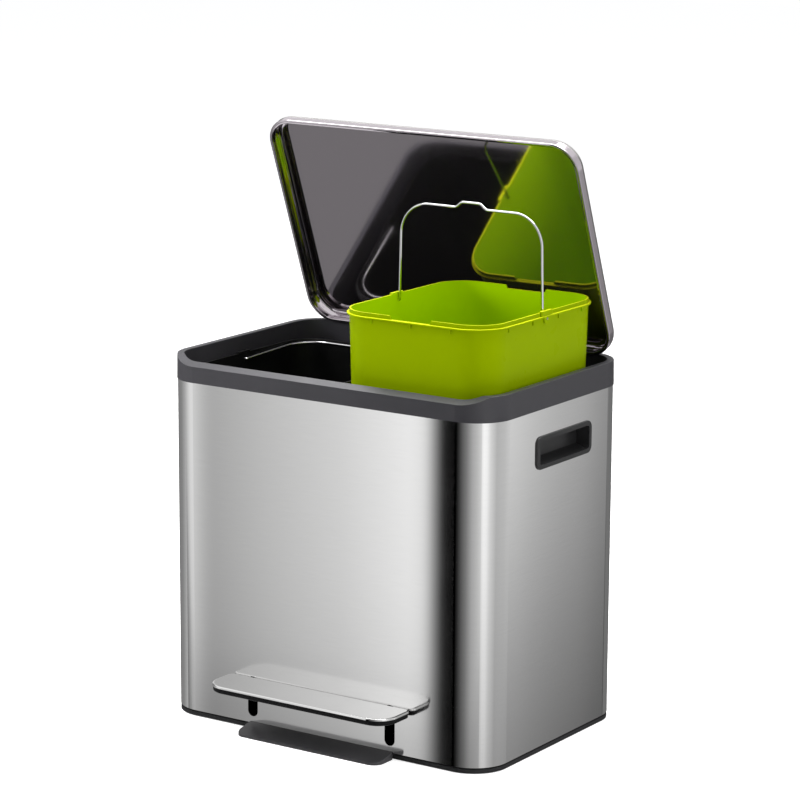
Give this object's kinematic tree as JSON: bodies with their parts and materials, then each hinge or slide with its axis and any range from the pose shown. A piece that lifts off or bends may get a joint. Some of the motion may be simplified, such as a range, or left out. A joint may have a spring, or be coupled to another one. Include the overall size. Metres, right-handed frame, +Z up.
{
  "type": "dual compartment pedal bin",
  "caption": "Free-standing pedal bin: brushed steel wrap, hinged steel lid over two lift-out buckets with wire bails, foot pedal, push rod and side grips.",
  "frame": {"origin": "on the floor, under the middle of the body's plan", "axes": "+X to the right along the front, +Y to the back, the pedal side faces -Y, +Z up"},
  "size_m": [0.4644, 0.3648, 0.7089],
  "materials": {
    "brushed_steel_wrap": "brushed satin",
    "lid_steel": "satin outside, bright inside",
    "zinc_steel": "zinc plated",
    "bright_wire": "bright plated wire",
    "dark_plastic": "fine matte, dark grey",
    "black_plastic": "matte black",
    "bucket_black_plastic": "smooth moulded black",
    "bucket_green_plastic": "smooth moulded lime green",
    "pad_rubber": "matte rubber"
  },
  "bodies": {
    "bin": {"body_shell": "brushed_steel_wrap", "rim_collar": "dark_plastic", "base_tray": "black_plastic", "floor_pads": "pad_rubber", "anti_tip_foot": "dark_plastic", "foot_screws": "zinc_steel", "bucket_deck": "black_plastic", "deck_screws": "zinc_steel", "handle_right": "dark_plastic", "handle_left": "dark_plastic", "rear_channel": "black_plastic", "rod_guides": "black_plastic", "hinge_base": "zinc_steel", "hinge_screws": "zinc_steel", "hinge_pin": "bright_wire", "lid_bumpers": "pad_rubber", "bearing_blocks": "black_plastic", "pedal_springs": "zinc_steel"},
    "pedal": {"pedal_plate": "brushed_steel_wrap", "pedal_tray": "black_plastic", "pedal_arm_right": "zinc_steel", "pedal_arm_left": "zinc_steel", "pedal_shaft": "zinc_steel", "rear_lever": "zinc_steel"},
    "rod": {"push_rod": "zinc_steel", "rod_head": "black_plastic"},
    "lid": {"lid_shell": "lid_steel", "lid_bracket": "zinc_steel"},
    "black_bucket": {"bucket_black": "bucket_black_plastic"},
    "green_bucket": {"bucket_green": "bucket_green_plastic"},
    "black_bail": {"bail_black": "bright_wire"},
    "green_bail": {"bail_green": "bright_wire"}
  },
  "joints": [
    {"name": "lid_hinge", "type": "hinge", "parent": "bin", "child": "lid", "pos_m": [0, 0.1445, 0.4395], "axis": [-1, 0, 0], "range_deg": [-69.1, 4]},
    {"name": "pedal_pivot", "type": "hinge", "parent": "bin", "child": "pedal", "pos_m": [0, 0.045, 0.04], "axis": [1, 0, 0], "range_deg": [0, 11], "stiffness_Nm_per_rad": 4, "springref_deg": -20.05},
    {"name": "rod_slide", "type": "slide", "parent": "bin", "child": "rod", "axis": [0, 0, 1], "range_m": [0, 0.0165]},
    {"name": "green_bucket_lift", "type": "slide", "parent": "bin", "child": "green_bucket", "axis": [0, 0.0839, 0.9965], "range_m": [-0.0954, 0.0056]},
    {"name": "black_bucket_lift", "type": "slide", "parent": "bin", "child": "black_bucket", "axis": [0, 0, 1], "range_m": [0, 0.01]},
    {"name": "green_bail_swing", "type": "hinge", "parent": "green_bucket", "child": "green_bail", "pos_m": [0.1098, -0.007, 0.5111], "axis": [1, 0, 0], "range_deg": [-87.52, 87.52]},
    {"name": "black_bail_swing", "type": "hinge", "parent": "black_bucket", "child": "black_bail", "pos_m": [-0.1098, -0.015, 0.4161], "axis": [1, 0, 0], "range_deg": [0, 175.04]}
  ],
  "couplings": [
    {"joint": "rod_slide", "follows": "pedal_pivot", "m_per_rad": 0.0835},
    {"joint": "green_bucket_lift", "follows": "lid_hinge", "m_per_rad": 0.07905},
    {"joint": "green_bail_swing", "follows": "lid_hinge", "ratio": -1.2666}
  ]
}
